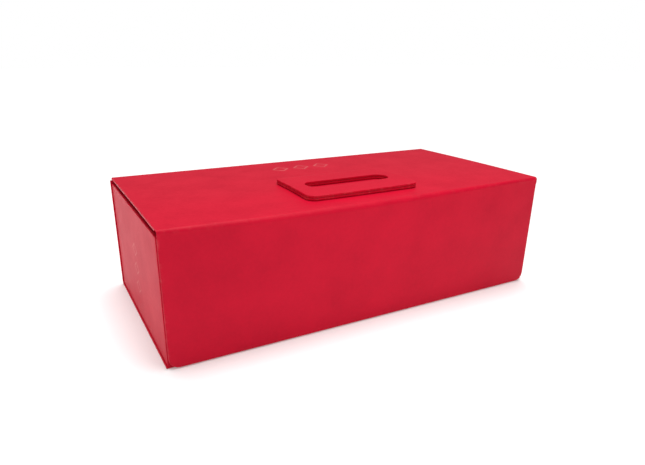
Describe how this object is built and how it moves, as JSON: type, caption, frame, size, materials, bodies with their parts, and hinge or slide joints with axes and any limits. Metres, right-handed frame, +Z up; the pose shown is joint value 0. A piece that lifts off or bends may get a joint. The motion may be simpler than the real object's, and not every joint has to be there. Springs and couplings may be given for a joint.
{
  "type": "carry box",
  "caption": "Long rigid carton covered in red paper, with a hinged lid, a full-height front flap held by hidden magnets, and a slotted carry handle that folds flat on the lid.",
  "frame": {"origin": "centre of the underside, on the table", "axes": "+X along the box's length, +Y towards the spine at the back, +Z up; box closed and handle lying forward on the lid"},
  "size_m": [0.35, 0.17, 0.1073],
  "materials": {
    "red_paper": "satin",
    "red_cloth": "satin",
    "lining_paper": "matte",
    "corner_tape": "matte",
    "greyboard": "matte",
    "magnet": "polished"
  },
  "bodies": {
    "tray": {"base_board": "greyboard", "spine_board": "greyboard", "base_wrap": "red_paper", "lid_hinge_cloth": "red_cloth", "floor_board": "greyboard", "front_wall_board": "greyboard", "back_wall_board": "greyboard", "left_end_board": "greyboard", "right_end_board": "greyboard", "corner_stays": "corner_tape", "tray_wrap": "red_paper", "tray_lining": "lining_paper", "tray_magnets": "magnet"},
    "lid": {"lid_board": "greyboard", "lid_wrap": "red_paper", "lid_lining": "lining_paper", "flap_hinge_cloth": "red_cloth", "handle_tongue": "red_cloth", "handle_anchor_front": "greyboard", "handle_anchor_rear": "greyboard"},
    "flap": {"flap_board": "greyboard", "flap_wrap": "red_paper", "flap_lining": "lining_paper", "flap_magnets": "magnet"},
    "handle": {"handle_lower_wrap": "red_paper", "handle_lower_board": "greyboard", "handle_core_cloth": "red_cloth", "handle_upper_board": "greyboard", "handle_upper_wrap": "red_paper"}
  },
  "joints": [
    {"name": "lid_hinge", "type": "hinge", "parent": "tray", "child": "lid", "pos_m": [0, 0.08436, 0.10236], "axis": [-1, 0, 0], "range_deg": [0, 178]},
    {"name": "flap_fold", "type": "hinge", "parent": "lid", "child": "flap", "pos_m": [0, -0.08393, 0.10193], "axis": [-1, 0, 0], "range_deg": [0, 90]},
    {"name": "handle_fold", "type": "hinge", "parent": "lid", "child": "handle", "pos_m": [0, 0, 0.1053], "axis": [-1, 0, 0], "range_deg": [0, 178]}
  ]
}
